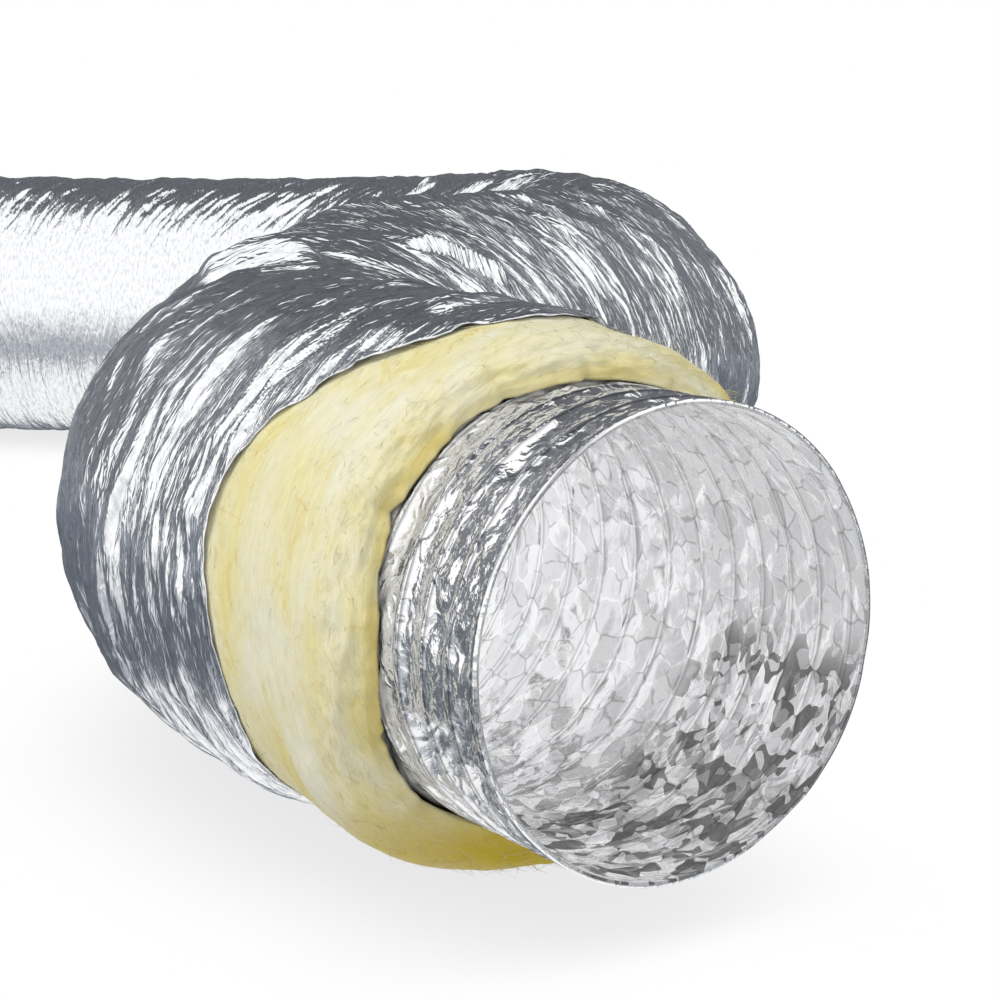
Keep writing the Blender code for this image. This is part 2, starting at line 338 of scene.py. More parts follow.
def off_floor(points, keep=0.0004):
    """Flattens a sheet on the ground where it would sink in."""
    z = points[..., 2]
    zone = 0.003
    sunk = np.clip((zone - z) / zone, 0, None)
    lifted = np.where(z < zone, zone - zone * (1 - np.exp(-sunk)) * 0.98, z)
    points[..., 2] = np.maximum(lifted, keep)
    return points


def carry(obj, joint, slot, *replaced):
    """With None a piece rides the far run; otherwise it stays where it is built, its transform baked
    in. Either way the CAD parts it replaces are hidden.
    """
    if joint is None:
        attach(obj, "far_run")
    else:
        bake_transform(obj)
    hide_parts(*replaced)


def carry_end(obj, body, slot, *replaced):
    """Keeps a piece of the dressed end where it is built, its transform baked in, and hides the CAD
    parts it replaces.
    """
    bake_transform(obj)
    if replaced:
        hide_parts(*replaced)


# ---------------------------------------------------------------- shader graphs
class Graph:
    """A node tree. Most methods add a node and return its output. Inputs may be sockets or values."""

    def __init__(self, tree):
        self.nodes, self.links = tree.nodes, tree.links

    def feed(self, node, inputs):
        for key, value in inputs.items():
            if isinstance(value, bpy.types.NodeSocket):
                self.links.new(value, node.inputs[key])
            else:
                node.inputs[key].default_value = value

    def node(self, kind, inputs=None, **settings):
        made = self.nodes.new("ShaderNode" + kind)
        for key, value in settings.items():
            setattr(made, key, value)
        self.feed(made, inputs or {})
        return made

    def math(self, operation, first, second):
        return self.node("Math", {0: first, 1: second}, operation=operation).outputs["Value"]

    def absolute(self, value):
        return self.math("ABSOLUTE", value, 0.0)

    def product(self, value, *factors):
        for factor in factors:
            value = self.math("MULTIPLY", value, factor)
        return value

    def vector(self, operation, inputs):
        return self.node("VectorMath", inputs, operation=operation).outputs[0]

    def dot(self, vector, fixed):
        inputs = {0: vector, 1: tuple(fixed)}
        return self.node("VectorMath", inputs, operation="DOT_PRODUCT").outputs["Value"]

    def remap(self, value, span, to=(0.0, 1.0), kind="SMOOTHSTEP"):
        """Takes the values in span to the values in to."""
        inputs = {"From Min": span[0], "From Max": span[1], "To Min": to[0], "To Max": to[1]}
        inputs["Value"] = value
        return self.node("MapRange", inputs, interpolation_type=kind).outputs["Result"]

    def ramp(self, source, stops):
        """Colour ramp of (position, colour), a single number being a grey."""
        ramp = self.node("ValToRGB", {"Fac": source})
        elements = ramp.color_ramp.elements
        while len(elements) < len(stops):
            elements.new(0.5)
        for element, (position, colour) in zip(elements, stops):
            element.position = position
            element.color = (*colour, 1) if isinstance(colour, tuple) else (*[colour] * 3, 1)
        return ramp.outputs["Color"]

    def mix(self, factor, first, second, blend="MIX"):
        inputs = {"Factor": factor, 6: first, 7: second}
        return self.node("Mix", inputs, data_type="RGBA", blend_type=blend).outputs[2]

    def noise(self, vector, detail, stretch=None, scale=1.0, roughness=0.5, distortion=0.0):
        """stretch is the number of cells in a metre along the hose and round it."""
        if stretch:
            mapped = {"Vector": vector, "Scale": (*stretch, 1)}
            vector = self.node("Mapping", mapped).outputs["Vector"]
        inputs = {"Vector": vector, "Scale": scale, "Detail": detail}
        inputs.update({"Roughness": roughness, "Distortion": distortion})
        return self.node("TexNoise", inputs).outputs["Fac"]

    def cells(self, vector, feature="F1", scale=1.0):
        inputs = {"Vector": vector, "Scale": scale}
        return self.node("TexVoronoi", inputs, voronoi_dimensions="2D", feature=feature).outputs

    def bump(self, height, strength, distance, under=None):
        inputs = {"Height": height, "Strength": strength, "Distance": distance}
        if under is not None:
            inputs["Normal"] = under
        return self.node("Bump", inputs).outputs["Normal"]

    def emission(self, **inputs):
        return self.node("Emission", inputs).outputs["Emission"]

    def mix_shader(self, factor, first, second):
        return self.node("MixShader", {0: factor, 1: first, 2: second}).outputs["Shader"]

    def sheet_uv(self):
        return self.node("UVMap", uv_map="sheet").outputs["UV"]

    def default_uv(self):
        """u and v, along the hose and round it."""
        uv = self.node("UVMap").outputs["UV"]
        return self.node("SeparateXYZ", {0: uv}).outputs[:2]


def new_material(name):
    material = bpy.data.materials.new(name)
    material.use_nodes = True
    graph = Graph(material.node_tree)
    return material, graph, graph.nodes["Principled BSDF"]


# ---------------------------------------------------------------- materials
def foil(name, tint, dark, split, grain, rough, creases):
    """Metallised film: streaked tint, patchy roughness and pressed-in creases. split holds the
    noise levels of dark and tint. Each crease is (stretch, bump distance, noise detail)."""
    material, graph, shader = new_material(name)
    uv = graph.sheet_uv()
    streak = graph.noise(uv, stretch=grain, detail=3.0, roughness=0.55)
    colour = graph.ramp(streak, [(split[0], dark), (split[1], tint)])
    patch = graph.noise(uv, stretch=(90, 50), detail=2.0)
    roughness = graph.remap(patch, span=(0.3, 0.7), to=rough, kind="LINEAR")
    normal = None
    for stretch, distance, detail in creases:
        noise = graph.noise(uv, stretch=stretch, detail=detail, distortion=0.4)
        # Folding the noise about its middle makes sharp-crested creases of it.
        crease = graph.absolute(graph.math("SUBTRACT", noise, 0.5))
        normal = graph.bump(crease, strength=1.0, distance=distance, under=normal)
    surface = {"Base Color": colour, "Metallic": 1.0, "Roughness": roughness, "Normal": normal}
    graph.feed(shader, surface)
    return material


def phase_of(graph):
    """Turns of the wire at any point of the core's film, and the part of a turn to the nearest."""
    round_uv = graph.default_uv()[1]
    turn_no = graph.node("Attribute", attribute_name="turns").outputs["Fac"]
    round_it = graph.math("DIVIDE", round_uv, 2 * math.pi * WIRE_COIL_RADIUS)
    phase = graph.math("SUBTRACT", turn_no, graph.math("ADD", round_it, WIRE_START))
    part = graph.math("FRACT", graph.math("ADD", phase, 20.5), 0.0)
    return phase, graph.absolute(graph.math("SUBTRACT", part, 0.5))


def paint_wire_shade_line(material):
    """Painted shade: a dark line in the film's colour where the film dips beside each turn of the
    wire.
    """
    graph = Graph(material.node_tree)
    shader = graph.nodes["Principled BSDF"]
    line = graph.ramp(
        phase_of(graph)[1],
        [(0.0, 1.0), (0.045, 1.0), (0.070, (0.36, 0.36, 0.38)), (0.095, (0.60, 0.60, 0.62)),
         (0.13, 1.0)],
    )
    film = shader.inputs["Base Color"].links[0].from_socket
    graph.feed(shader, {"Base Color": graph.vector("MULTIPLY", {0: film, 1: line})})


def bore_glow(graph, u, v):
    """Light seen by reflection: strong where the film faces the mouth, and weaker in a patch on
    the upper side of the bore, 0.1 to 0.5 m in."""
    normal = graph.node("NewGeometry").outputs["Normal"]
    facing = graph.dot(normal, heading_of(0.0))
    glow = graph.remap(facing, span=(-0.45, 0.45), to=(0.34, 0.98))
    patch = graph.product(
        graph.remap(u, span=(3.10, 3.20)),
        graph.remap(u, span=(3.34, 3.50), to=(1.0, 0.0)),
        graph.remap(v, span=(0.145, 0.20)),
        graph.remap(v, span=(0.28, 0.33), to=(1.0, 0.0)),
    )
    return graph.product(glow, graph.remap(patch, span=(0.0, 1.0), to=(1.0, 0.70)))


def bore_facets(graph, phase, u, v):
    """Flat facets between the turns of the wire: their shade, and a random colour for each. The shade
    is a random tone with painted shade and painted highlights on it.
    """
    place = {0: graph.product(phase, 2.0), 1: graph.product(v, 72.0)}
    cell_at = graph.node("CombineXYZ", place).outputs[0]
    warp = graph.node("TexNoise", {"Vector": cell_at, "Scale": 1.0, "Detail": 1.0}).outputs
    warped = graph.vector("MULTIPLY_ADD", {0: warp["Color"], 1: (0.35, 0.9, 0.0), 2: cell_at})
    cell = graph.cells(warped)["Color"]
    rim = graph.cells(warped, feature="DISTANCE_TO_EDGE")["Distance"]
    parts = graph.node("SeparateColor", {0: cell}).outputs
    tone = graph.remap(parts[0], span=(0.0, 1.0), to=(0.84, 1.04))
    # Painted shade and painted highlights: creases at the facets' edges, some dark and some bright.
    crease = graph.remap(warp["Fac"], span=(0.42, 0.58), to=(0.66, 1.22))
    at_edge = graph.remap(rim, span=(0.015, 0.075), to=(1.0, 0.0))
    edge = graph.product(at_edge, graph.math("SUBTRACT", crease, 1.0))
    crease_light_and_shade = graph.math("ADD", 1.0, edge)
    # Painted shade: low in the first few turns, some facets that look into the dark of the bore are
    # darkened.
    low = graph.math(
        "MAXIMUM",
        graph.remap(v, span=(0.120, 0.165), to=(1.0, 0.0)),
        graph.remap(v, span=(0.575, 0.61)),
    )
    first = graph.product(low, graph.remap(u, span=(3.085, 3.135), to=(1.0, 0.0)))
    chip = graph.node("SeparateColor", {0: graph.cells(warped, scale=2.3)["Color"]}).outputs
    either = graph.math("ADD", graph.product(parts[1], 0.55), graph.product(chip[0], 0.45))
    shaded_facets = graph.product(first, graph.remap(either, span=(0.28, 0.62), to=(1.0, 0.0)))
    dark = graph.remap(shaded_facets, span=(0.0, 1.0), to=(1.0, 0.25))
    return graph.product(tone, crease_light_and_shade, dark), cell


def fill_bore(material):
    """Deep in the bore light rattles between facets for dozens of bounces. After the first bounce
    a glow stands in for it. The film seen directly gets facets, each tipped its own way."""
    graph = Graph(material.node_tree)
    shader = graph.nodes["Principled BSDF"]
    u, v = graph.default_uv()
    level = bore_glow(graph, u, v)
    phase, from_wire = phase_of(graph)
    shade, cell = bore_facets(graph, phase, u, v)
    # Painted shadow: dark lines beside each turn of the wire.
    wire_shadow_lines = graph.ramp(
        from_wire, [(0.0, 1.0), (0.028, 1.0), (0.050, 0.66), (0.085, 0.86), (0.14, 1.0)]
    )
    film = shader.inputs["Base Color"].links[0].from_socket
    # The facets' painted shade and highlights and the painted wire shadows go into the film's colour.
    toned = graph.vector("SCALE", {0: film, "Scale": shade})
    lined = graph.vector("MULTIPLY", {0: toned, 1: wire_shadow_lines})
    capped = graph.vector("MINIMUM", {0: lined, 1: (0.98, 0.98, 0.98)})
    # The tip of each facet is a random vector within this much either way.
    reach = 0.17
    tip = graph.vector("MULTIPLY_ADD", {0: cell, 1: (2 * reach,) * 3, 2: (-reach,) * 3})
    plain_normal = shader.inputs["Normal"].links[0].from_socket
    tipped = graph.vector("ADD", {0: tip, 1: plain_normal})
    graph.feed(shader, {"Base Color": capped, "Normal": graph.vector("NORMALIZE", {0: tipped})})
    glow = graph.emission(Color=(0.97, 0.975, 0.985, 1), Strength=level)
    painted_reflection = graph.node("LightPath").outputs["Is Glossy Ray"]
    surface = graph.mix_shader(painted_reflection, shader.outputs["BSDF"], glow)
    graph.feed(graph.nodes["Material Output"], {"Surface": surface})
    material.cycles.emission_sampling = "NONE"


def glass_wool(name, pale, mid, deep):
    material, graph, shader = new_material(name)
    uv = graph.sheet_uv()
    cloud = graph.noise(uv, stretch=(26, 12), detail=4.0, roughness=0.55, distortion=0.6)
    strands = graph.noise(uv, stretch=(420, 70), detail=6.0, roughness=0.7, distortion=1.2)
    cross = graph.noise(uv, stretch=(150, 380), detail=6.0, roughness=0.7, distortion=1.5)
    base = graph.ramp(cloud, [(0.30, deep), (0.47, mid), (0.64, pale)])
    tint = graph.ramp(strands, [(0.32, (0.86, 0.84, 0.74)), (0.62, 1.0)])
    fibrous = graph.mix(0.8, base, tint, blend="MULTIPLY")
    # Painted shade: thin deeper-coloured cracks in the blanket, drawn in colour only.
    split = graph.noise(uv, stretch=(19, 11), detail=3.5, roughness=0.62, distortion=1.1)
    from_split = graph.absolute(graph.math("SUBTRACT", split, 0.5))
    crack_shade = graph.product(
        graph.remap(from_split, span=(0.0, 0.014), to=(0.60, 0.0)),
        graph.remap(cloud, span=(0.42, 0.54), to=(1.0, 0.15)),
    )
    with_crack_shade = graph.mix(crack_shade, fibrous, (0.84, 0.68, 0.24, 1))
    # Painted shade: deep gold low down, close to the bare end, where the wool lies in shadow.
    position = graph.node("NewGeometry").outputs["Position"]
    height = graph.node("SeparateXYZ", {0: position}).outputs[2]
    along = graph.node("SeparateXYZ", {0: uv}).outputs[0]
    under = graph.product(
        graph.remap(height, span=(0.018, 0.060), to=(1.0, 0.0)),
        graph.remap(along, span=(0.085, 0.150), to=(1.0, 0.0)),
    )
    shaded_low = graph.mix(under, with_crack_shade, (0.64, 0.48, 0.035, 1))
    # Painted reflection: to rays reflected off the foil the wool shows nearly white.
    painted_reflection = graph.product(graph.node("LightPath").outputs["Is Glossy Ray"], 0.92)
    lengthwise = graph.bump(strands, strength=0.8, distance=0.0006)
    graph.feed(shader, {
        "Base Color": graph.mix(painted_reflection, shaded_low, (0.98, 0.975, 0.96, 1)),
        "Roughness": 0.95,
        "Specular IOR Level": 0.15,
        "Sheen Weight": 0.15,
        "Sheen Roughness": 0.6,
        "Sheen Tint": (1.0, 0.97, 0.85, 1),
        "Normal": graph.bump(cross, strength=0.6, distance=0.0004, under=lengthwise),
    })
    return material


def steel(name):
    material, graph, shader = new_material(name)
    coords = graph.node("TexCoord").outputs["Object"]
    noise = graph.noise(coords, scale=300.0, detail=3.0)
    colour = graph.ramp(noise, [(0.3, (0.30, 0.29, 0.28)), (0.7, 0.48)])
    graph.feed(shader, {"Base Color": colour, "Metallic": 1.0, "Roughness": 0.35})
    return material


JACKET_FOIL = foil(
    "jacket_film", tint=(0.97, 0.975, 0.985), dark=(0.74, 0.765, 0.80), split=(0.34, 0.55),
    grain=(430, 150), rough=(0.06, 0.13),
    creases=[((140, 15), 0.0020, 0.8), ((420, 90), 0.00112, 1.2)],
)
CORE_FOIL = foil(
    "core_outer_film", tint=(0.98, 0.98, 0.98), dark=(0.92, 0.92, 0.92), split=(0.28, 0.62),
    grain=(150, 20), rough=(0.04, 0.10),
    creases=[((150, 130), 0.0020, 0.5), ((420, 380), 0.00036, 1.0)],
)
BORE_FOIL = foil(
    "core_inner_film", tint=(0.97, 0.97, 0.975), dark=(0.90, 0.90, 0.91), split=(0.28, 0.62),
    grain=(150, 20), rough=(0.10, 0.17),
    creases=[((130, 110), 0.0010, 0.4), ((420, 380), 0.00024, 1.0)],
)
paint_wire_shade_line(CORE_FOIL)
fill_bore(BORE_FOIL)
WOOL = glass_wool(
    "glass_wool_blanket", pale=(0.97, 0.95, 0.78), mid=(0.95, 0.89, 0.55), deep=(0.92, 0.81, 0.33)
)
# Painted shade: a darker, deeper yellow copy of the wool for the cut face by the core, which lies in
# shade.
WOOL_SHADED_FACE = glass_wool(
    "glass_wool_cut_shaded", pale=(0.95, 0.90, 0.63), mid=(0.92, 0.83, 0.45), deep=(0.83, 0.69, 0.24)
)
STEEL = steel("spring_wire")


# ---------------------------------------------------------------- jacket
# Folds over the upper half of the hose: (along and degrees at one end, along and degrees at the
# other, height, width). The last four are at the elbow.
FOLDS = [
    (0.379, 115, 0.361, 86, 0.0125, 0.0115), (0.402, 124, 0.430, 70, 0.0050, 0.014),
    (0.455, 120, 0.470, 66, 0.0060, 0.016), (0.500, 74, 0.560, 46, 0.0092, 0.0105),
    (0.520, 104, 0.560, 60, 0.0050, 0.013), (0.560, 112, 0.640, 58, 0.0055, 0.015),
    (0.610, 108, 0.700, 50, 0.0050, 0.014), (0.680, 104, 0.790, 44, 0.0045, 0.014),
    (0.760, 100, 0.880, 40, 0.0045, 0.013), (0.860, 98, 0.980, 36, 0.0040, 0.013),
    (0.960, 100, 1.080, 40, 0.0040, 0.012), (0.340, 66, 0.395, 30, 0.0050, 0.012),
    (0.300, 150, 0.330, 96, 0.0030, 0.010), (0.430, 190, 0.470, 130, 0.0035, 0.013),
    (1.440, 128, 1.380, 92, 0.0045, 0.011), (1.520, 150, 1.450, 96, 0.0045, 0.011),
    (1.600, 140, 1.530, 96, 0.0035, 0.010), (1.700, 130, 1.620, 94, 0.0030, 0.010),
]
# The jacket's edge reaches further forward over the top: (degrees, along).
JACKET_CUT = [
    (-90, 0.200), (0, 0.185), (45, 0.150), (78, 0.114), (96, 0.108), (110, 0.126), (130, 0.156),
    (146, 0.183), (165, 0.188), (188, 0.180), (205, 0.182), (235, 0.204), (270, 0.200),
]
# Where the elbow starts one side slumps, hollow high up and full low down: (degrees, metres).
SLUMP = [
    (-90, 0.0), (-60, 0.006), (-40, 0.014), (-20, 0.019), (-10, 0.014), (0, 0.007), (10, 0.001),
    (22, -0.006), (36, -0.011), (50, -0.012), (68, -0.008), (82, 0.0), (270, 0.0),
]
CUT_OFFSETS = (-9, -3, 3, 9)  # degrees over which the cut tables are averaged
SLUMP_OFFSETS = (-6, 0, 6)


def folds(along, angle):
    """Height of the folds, and how far they smooth the film. A fold is steep on the side towards
    the mouth, long on the other, and dies out at both ends."""
    degrees = np.degrees(angle)
    height, flat = np.zeros_like(along), np.zeros_like(along)
    low, high = along.min(), along.max()
    for start, start_degrees, end, end_degrees, tall, wide in FOLDS:
        if max(start, end) + 0.06 < low or min(start, end) - 0.06 > high:
            continue
        part = (degrees - start_degrees) / (end_degrees - start_degrees)
        wander = soft(part * 3, along * 0, length=1, count=9, seed=31, sway=start * 50)
        away = along - (start + (end - start) * part + 0.004 * wander)
        profile = np.where(away < 0, 1 + away / wide, 1 - away / (2.6 * wide))
        inside = ease(part, -0.12, 0.22) * (1 - ease(part, 0.75, 1.15))
        height = np.maximum(height, tall * np.clip(profile, 0, 1) * inside)
        face = ease(away, -1.1 * wide, -0.8 * wide) * (1 - ease(away, -0.1 * wide, 0.3 * wide))
        flat = np.maximum(flat, face * inside)
    return height, flat


def jacket_height(along, angle):
    """How far the crinkled film stands off its plain tube."""
    around = turn(angle)
    degrees = np.degrees(angle)
    far = along / DIAMETER
    near = 1 - ease(far, 5.2, 6.1)  # the far run is drawn tight, the rest is bunched
    broad = soft(along, around, length=0.085, count=7, seed=11)
    small = soft(along, around, length=0.030, count=19, seed=12)
    middle = soft(along, around, length=0.060, count=11, seed=13)
    over = np.clip((degrees - 60) / 90, 0, 1)  # over the top of the far run the creases lean
    lean = (1 - near) * 0.145 * (over - 0.5) * (0.45 + 0.55 * (1 - ease(far, 6.2, 7.2)))
    bent = along - lean + 0.010 * broad + 0.0035 * small
    pleat = facets(bent, around, length=0.0082, count=13, seed=21, sway=0.55 * middle)
    ridge = facets(bent, around, length=0.0110, count=11, seed=22, start=3.3, sway=0.4 * small)
    crest = 1 - 2 * np.abs(ridge)
    streak = facets(bent, around, length=0.0045, count=24, seed=23, sway=0.7 * broad)
    fine = facets(
        bent + 0.002 * small, around, length=0.0028, count=46, seed=24, sway=0.6 * middle
    )
    crumple = facets(
        along, around, length=0.015, count=44, seed=25, start=0.4 * small, sway=0.4 * broad
    )
    patches = soft(along, around, length=0.050, count=10, seed=26)
    patchy = np.clip(0.70 + 0.62 * patches, 0.15, 1.25)
    rough = (0.00220 * pleat + 0.0020 * crest + 0.00175 * streak) * patchy
    rough = rough + 0.00058 * fine + 0.00130 * crumple
    tight = 0.00044 * pleat + 0.00050 * streak + 0.00036 * fine + 0.00042 * crumple
    tight = tight * (1 + 1.7 * ease(np.sin(angle), 0.45, 0.90))
    wave = 0.0018 * soft(along, around, length=0.07, count=5, seed=27)
    fold, flat = folds(along, angle)
    # Over the top, about 0.6 m from the mouth, the film buckles into larger flat plates.
    plates = np.exp(-(((along - 0.60) / 0.15) ** 2)) * ease(degrees, 74, 92)
    plates = plates * (1 - ease(degrees, 126, 146))
    plate = facets(
        along, around, length=0.034, count=15, seed=28, start=0.5 * small, sway=0.4 * broad
    )
    wave = wave + plates * 0.0042 * plate
    flat = np.maximum(flat, 0.62 * plates)
    crinkles = (near * rough + (1 - near) * tight) * (1 - 0.97 * flat)
    return crinkles + wave * (0.35 + 0.65 * near) + fold


def jacket_edge(angle):
    """Where the jacket is cut, a little unevenly."""
    around = turn(angle)
    plain = rounded_table(JACKET_CUT, np.degrees(angle), CUT_OFFSETS)
    uneven = 0.0020 * ring_noise(around, row=5.5, count=9, seed=41)
    return plain + uneven + 0.0009 * ring_noise(around, row=2.5, count=46, seed=42)


def slump(along, angle):
    degrees = np.degrees(angle)
    round_it = rounded_table(SLUMP, degrees, SLUMP_OFFSETS)
    crown = 0.0060 * np.exp(-(((along - 1.47) / 0.16) ** 2))
    crown = crown * np.exp(-(((degrees - 86) / 22) ** 2))
    return round_it * np.exp(-(((along - 1.20) / 0.15) ** 2)) + crown


def free_radius(along, angle):
    return jacket_radius(along) - 0.0006 + jacket_height(along, angle)


def jacket_points(along, angle, drop=0.0):
    radius = free_radius(along, angle) + slump(along, angle) - drop
    return off_floor(wrap(along, angle, radius))


def jacket_uv(along, angle):
    return along, arc(angle, JACKET_UV_RADIUS)


def end_radius(along, angle, edge):
    """The gathered end hugs the wool at its cut edge."""
    calm = ease(along - edge, 0.0, 0.022)
    hug = wool_outer(along, angle) + 0.0012
    crisp = 0.0006 * facets(along, turn(angle), length=0.004, count=90, seed=44)
    gathered = hug + np.maximum(0, jacket_height(along, angle)) * 0.8 + crisp
    return np.maximum(free_radius(along, angle) * calm + gathered * (1 - calm), hug)


def build_jacket_joints():
    for k in range(len(HINGES)):
        step = 0.00105 if k < 3 else 0.0014
        along, angle = grid_of(rows_between(SEAM_AT[k], SEAM_AT[k + 1], step), 320)
        points = jacket_points(along, angle)
        uvs = jacket_uv(along, angle)
        obj = sheet("jacket_skin_" + BODIES[k], points, uvs, [JACKET_FOIL])
        carry(obj, k, "jacket_foil", "jacket_" + BODIES[k])


def build_jacket_far_run():
    """Its edge is turned in at the far cut."""
    cols = 336
    along, angle = grid_of(rows_between(SEAM_AT[-1], END, 0.0018)[:-1], cols)
    lip_along, lip_angle = grid_of([END, END - 0.004, END - 0.02, END - 0.03], cols)
    lip = jacket_points(lip_along, lip_angle, drop=0.0009)
    points = np.concatenate([jacket_points(along, angle), lip])
    uvs = jacket_uv(np.concatenate([along, lip_along]), np.concatenate([angle, lip_angle]))
    obj = sheet("jacket_skin_far_run", points, uvs, [JACKET_FOIL])
    carry(obj, None, "jacket_foil", "jacket_far_run")


def build_jacket_gathered_end():
    """The end near the mouth, its edge turned in."""
    cols = 336
    part, angle = grid_of(rows_between(0.0, 1.0, 1 / 126)[1:-1], cols)
    edge = jacket_edge(angle)
    along = edge * (1 - part) + SEAM_AT[0] * part
    skin = off_floor(wrap(along, angle, end_radius(along, angle, edge)))
    lip_along = np.stack([edge[0] + inset for inset in (0.024, 0.012, 0.004, 0.0006)])
    lip_angle = angle[:4]
    lip_radius = end_radius(lip_along, lip_angle, edge[:4]) - 0.0008
    lip = off_floor(wrap(lip_along, lip_angle, lip_radius))
    halo_along, halo_angle = grid_of([SEAM_AT[0] + 0.0009], cols)
    points = np.concatenate([lip, skin, jacket_points(halo_along, halo_angle)])
    uvs = jacket_uv(
        np.concatenate([lip_along, along, halo_along]),
        np.concatenate([lip_angle, angle, halo_angle]),
    )
    obj = sheet("jacket_skin_gathered_end", points, uvs, [JACKET_FOIL])
    carry_end(obj, "jacket_end", "jacket_foil", "jacket_cuff")


# ---------------------------------------------------------------- glass wool
# Where the bare wool ends on the core: (degrees, along).
WOOL_CUT = [
    (-90, 0.082), (0, 0.072), (60, 0.060), (88, 0.063), (104, 0.073), (120, 0.079), (147, 0.083),
    (165, 0.076), (180, 0.074), (200, 0.080), (228, 0.098), (250, 0.094), (270, 0.082),
]
# Small tears in that edge: (middle in degrees, half width in degrees, depth).
TEARS = [(91, 2.2, 0.005), (111, 2.4, 0.004), (150, 4.0, 0.006), (205, 3.0, 0.003), (232, 4.0, 0.005)]


def wool_outer(along, angle):
    """Outside of the blanket: the jacket's inside where covered, thinner and looser where bare."""
    around = turn(angle)
    covered = ease(along, 0.085, 0.200)
    plain = 0.1262 * (1 - covered) + (jacket_radius(along) - 0.0030) * covered
    deep = ease(along, 0.215, 0.25)  # well inside, clear of the jacket's folds
    lumps = 0.0020 * soft(along, around, length=0.040, count=12, seed=51)
    lumps = lumps + 0.0011 * soft(along, around, length=0.017, count=26, seed=52)
    shift = 0.8 * soft(along, around, length=0.05, count=9, seed=55)
    layers = 0.0009 * facets(along, around, length=0.011, count=6, seed=53, start=shift)
    fibre = 0.0004 * soft(along, around, length=0.0035, count=26, seed=54)
    fibre = fibre + 0.0003 * soft(along, around, length=0.006, count=110, seed=56)
    sagging = 0.0105 * np.exp(-(((np.degrees(angle) - 234) / 26) ** 2))
    sagging = sagging * (1 - ease(along, 0.120, 0.185))
    # Room for the jacket to be drawn over it.
    slack = 0.0072 * ease(along, 0.194, 0.230) * (1 - ease(along, 1.0, 1.3))
    body = plain + sagging + slump(along, angle) + (lumps + layers) * (1 - 0.5 * deep)
    return body + fibre - 0.0035 * deep - slack


def wool_edge(angle):
    """Where the blanket ends, and how much further back it is torn there."""
    degrees = np.degrees(angle)
    around = turn(angle)
    edge = rounded_table(WOOL_CUT, degrees, CUT_OFFSETS)
    torn = 0.0016 * ring_noise(around, row=1.5, count=27, seed=71)
    torn = torn + 0.0010 * ring_noise(around, row=1.5, count=71, seed=72)
    for middle, width, depth in TEARS:
        torn = torn + depth * np.clip(1 - np.abs(degrees - middle) / width, 0, 1)
    return edge, torn


def shoulder_drop(swing):
    """Part of the wool's thickness lost on its shoulder, most of it close to the core."""
    return 1 - math.cos(swing) ** 0.85


def wool_inner(along, angle):
    return wrap(along, angle, np.full(along.shape, WOOL_IN + 0.0012))


def build_wool_joints():
    for k in range(len(HINGES)):
        along, angle = grid_of(rows_between(SEAM_AT[k], SEAM_AT[k + 1], 0.008)[1:-1], 128)
        out = off_floor(wrap(along, angle, wool_outer(along, angle)), keep=0.003)
        inner = wool_inner(along, angle)
        obj = tube_wall("insulation_wool_" + BODIES[k], out, inner, along, angle, WOOL)
        carry(obj, k, "glass_wool", "insulation_" + BODIES[k])


def cut_face(ring_out, ring_in, outward, depth, rows, seed):
    """Ragged rings across the cut blanket, from its outside to its inside."""
    cols = len(ring_out)
    around = np.arange(cols) / cols
    rings = []
    for i in range(1, rows + 1):
        part = i / (rows + 1)
        coarse = ring_noise(around, row=part * 6.0, count=60, seed=seed)
        fine = ring_noise(around, row=part * 14.0, count=150, seed=seed + 1)
        rag = depth * (coarse + 0.6 * fine) * math.sin(math.pi * part)
        plain = ring_out * (1 - part) + ring_in * part
        rings.append(plain + outward[None, :] * rag[:, None])
    return np.stack(rings)


def build_wool_far_run():
    """Ends in a plain cut across the blanket."""
    cols = 192
    body_rows = rows_between(SEAM_AT[-1], END - 0.012, 0.008)[:-1]
    rows = np.concatenate([body_rows, np.linspace(END - 0.010, END, 9)])
    along, angle = grid_of(rows, cols)
    around = turn(angle)
    cut_noise = 0.0015 * soft(around * 30, around, length=1, count=30, seed=61)
    cut_noise = cut_noise * ease(along, END - 0.01, END)
    radius = wool_outer(along, angle) + 0.002 * ease(along, END - 0.03, END) + cut_noise
    out = off_floor(wrap(along, angle, radius), keep=0.002)
    inner = wool_inner(along, angle)
    face = cut_face(out[-1], inner[-1], heading_of(END) * -1, depth=0.0016, rows=14, seed=62)
    points = np.concatenate([out, face, inner[1:][::-1]])
    face_width = 0.02  # on the texture
    face_u = np.linspace(END, END + face_width, len(face))[:, None]
    back_u = END + face_width + (END - along[1:][::-1])
    u = np.concatenate([along, np.repeat(face_u, cols, 1), back_u])
    v = turn(np.repeat(angle[:1], len(points), 0)) * WOOL_UV_ROUND
    obj = sheet("insulation_wool_far_run", points, (u, v), [WOOL])
    carry(obj, None, "glass_wool", "insulation_far_run")


def bare_face(angle, edge, torn, inner_radius, parts):
    """The torn shoulder of the bare wool, from its outside down to the core."""
    around = turn(angle)
    rings = []
    for part in parts:
        swing = part * math.pi / 2
        along = edge + SHOULDER * (1 - math.sin(swing) ** 1.15) + torn * part**3
        outer = wool_outer(along, angle)
        radius = outer + (inner_radius - outer) * shoulder_drop(swing)
        rag = 0.0012 * ring_noise(around, row=part * 6.0, count=64, seed=73)
        rag = rag + 0.0007 * ring_noise(around, row=part * 13.0, count=140, seed=74)
        shift = part * 7.0 + 0.5 * ring_noise(around, row=0.5, count=17, seed=77)
        plies = 0.0013 * facets(around * 0, around, length=1, count=21, seed=75, start=shift)
        push = (rag + plies) * ease(part, 0.05, 0.5)
        rings.append(
            wrap(along - push * math.sin(swing), angle, radius + push * math.cos(swing))
        )
    return off_floor(np.concatenate(rings), keep=0.003)


